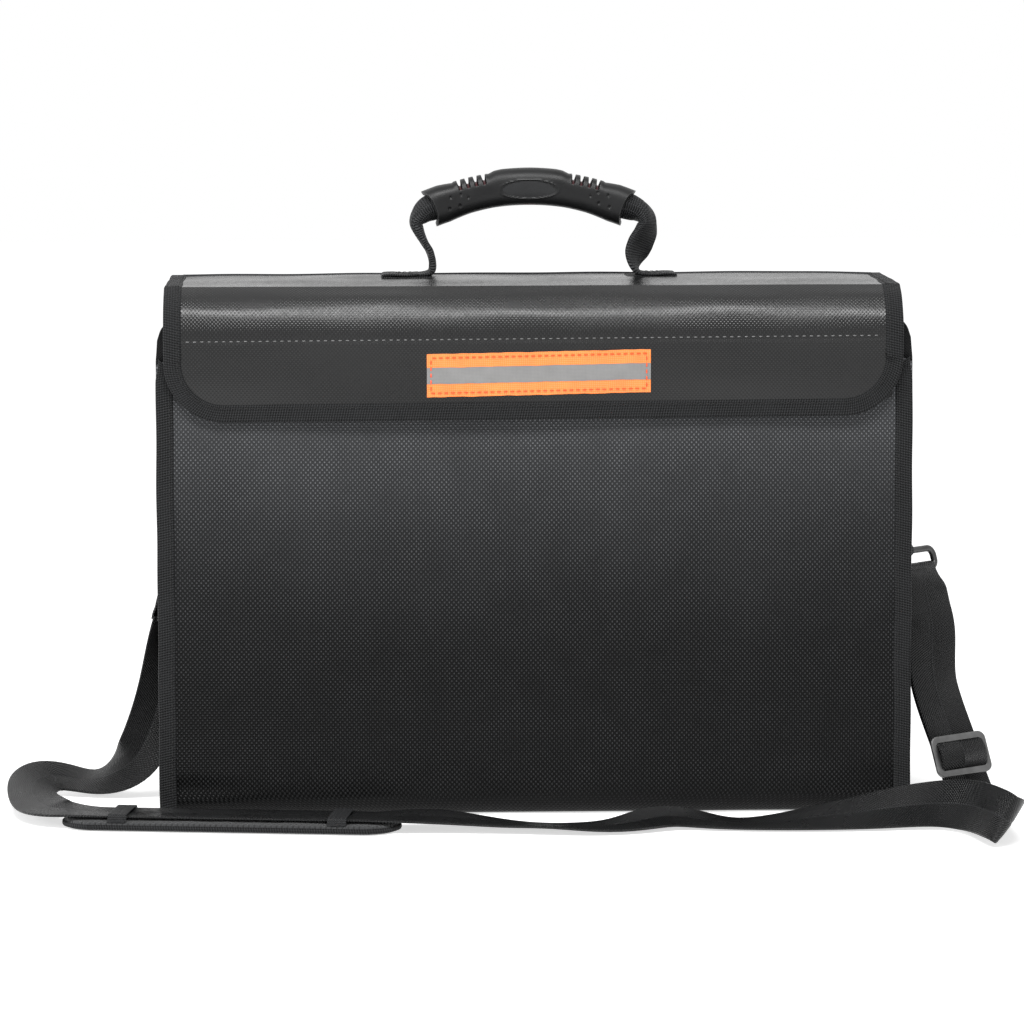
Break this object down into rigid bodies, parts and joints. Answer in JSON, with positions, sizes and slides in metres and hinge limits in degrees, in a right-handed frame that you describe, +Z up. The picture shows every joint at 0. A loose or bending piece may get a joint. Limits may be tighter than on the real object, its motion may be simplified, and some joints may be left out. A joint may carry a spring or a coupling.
{
  "type": "battery safe bag",
  "caption": "Stiffened fire-cloth battery bag with wrap-over lid and flap, reflective strip, moulded carry grip and loose shoulder strap with pad and adjuster.",
  "frame": {"origin": "centre of the bag's footprint on the floor", "axes": "+X to the bag's right as seen from the front, +Y to the back, +Z up; the flap and reflective strip face -Y"},
  "size_m": [0.5873, 0.2532, 0.376],
  "materials": {
    "outer_cloth": "matte",
    "side_cloth": "matte",
    "flap_cloth": "matte",
    "lining": "satin",
    "binding": "matte",
    "hook_loop": "matte",
    "reflective_orange": "satin",
    "reflective_silver": "satin",
    "grip_rubber": "satin",
    "grip_core": "matte",
    "webbing": "matte",
    "ring_metal": "satin",
    "slider_metal": "satin",
    "pad_mesh": "matte"
  },
  "bodies": {
    "bag": {"front_panel": "outer_cloth", "back_panel": "outer_cloth", "base_panel": "outer_cloth", "left_gusset": "side_cloth", "right_gusset": "side_cloth", "front_lining": "lining", "back_lining": "lining", "base_lining": "lining", "left_lining": "lining", "right_lining": "lining", "left_front_binding": "binding", "right_front_binding": "binding", "left_rear_binding": "binding", "right_rear_binding": "binding", "loop_tape": "hook_loop", "left_ring_tab": "webbing", "right_ring_tab": "webbing", "shoulder_strap": "webbing", "adjuster_tail": "webbing"},
    "lid": {"lid_panel": "flap_cloth", "lid_lining": "lining", "left_lid_binding": "binding", "right_lid_binding": "binding", "left_handle_tail": "webbing", "right_handle_tail": "webbing"},
    "flap": {"flap_panel": "flap_cloth", "flap_binding": "binding", "hook_tape": "hook_loop", "reflective_tape": "reflective_orange", "silver_stripe": "reflective_silver"},
    "handle": {"handle_grip": "grip_rubber", "grip_core": "grip_core", "handle_webbing": "webbing"},
    "left_ring": {"left_ring": "ring_metal", "left_strap_end": "webbing"},
    "right_ring": {"right_ring": "ring_metal", "right_strap_end": "webbing"},
    "slider": {"strap_slider": "slider_metal", "slider_loop": "webbing"},
    "pad": {"shoulder_pad": "pad_mesh", "pad_binding": "binding", "left_pad_keeper": "webbing", "right_pad_keeper": "webbing"}
  },
  "joints": [
    {"name": "lid_fold", "type": "hinge", "parent": "bag", "child": "lid", "pos_m": [0, 0.0674, 0.30635], "axis": [-1, 0, 0], "range_deg": [0, 115]},
    {"name": "flap_fold", "type": "hinge", "parent": "lid", "child": "flap", "pos_m": [0, -0.03815, 0.3106], "axis": [-1, 0, 0], "range_deg": [0, 110]},
    {"name": "handle_tilt", "type": "hinge", "parent": "lid", "child": "handle", "pos_m": [0, 0.024, 0.3173], "axis": [1, 0, 0], "range_deg": [-70, 70]},
    {"name": "left_ring_swing", "type": "hinge", "parent": "bag", "child": "left_ring", "pos_m": [-0.211, 0, 0.1475], "axis": [0.4226, 0.9063, 0], "range_deg": [-15, 45]},
    {"name": "right_ring_swing", "type": "hinge", "parent": "bag", "child": "right_ring", "pos_m": [0.229, 0, 0.1475], "axis": [-0.7071, -0.7071, 0], "range_deg": [-25, 40]},
    {"name": "slider_travel", "type": "slide", "parent": "bag", "child": "slider", "axis": [-0.3129, 0.2816, 0.9071], "range_m": [0, 0.02]},
    {"name": "pad_travel", "type": "slide", "parent": "bag", "child": "pad", "axis": [0.9903, -0.1392, 0], "range_m": [-0.01, 0.015]}
  ]
}
